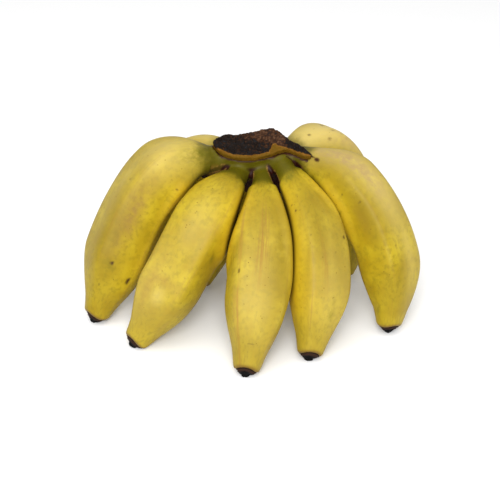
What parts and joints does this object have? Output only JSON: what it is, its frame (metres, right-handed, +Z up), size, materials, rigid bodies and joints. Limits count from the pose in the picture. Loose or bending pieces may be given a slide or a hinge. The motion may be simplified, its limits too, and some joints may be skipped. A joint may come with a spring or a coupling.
{
  "type": "apple banana hand",
  "caption": "Hand of short plump ripe bananas in two rows, joined at a green crown with a dark dried cut, standing on the dried tips of its fingers.",
  "frame": {"origin": "centre of the footprint, on the surface that the fingertips stand on", "axes": "+Z up, -Y towards the front row of fingers, +X to the viewer's right, along the hand's longest extent"},
  "size_m": [0.1904, 0.153, 0.0993],
  "materials": {
    "peel": "satin",
    "green_peel": "satin",
    "dried_stalk": "matte",
    "dried_flower": "matte"
  },
  "bodies": {
    "root": {"crown": "green_peel", "cut_stalk": "dried_stalk", "finger_front_1": "peel", "finger_front_2": "peel", "finger_front_3": "peel", "finger_front_4": "peel", "finger_front_5": "peel", "finger_back_1": "peel", "finger_back_2": "peel", "finger_back_3": "peel", "finger_back_4": "peel", "dried_flower_front_1": "dried_flower", "dried_flower_front_2": "dried_flower", "dried_flower_front_3": "dried_flower", "dried_flower_front_4": "dried_flower", "dried_flower_front_5": "dried_flower", "dried_flower_back_1": "dried_flower", "dried_flower_back_2": "dried_flower", "dried_flower_back_3": "dried_flower", "dried_flower_back_4": "dried_flower"}
  },
  "joints": []
}
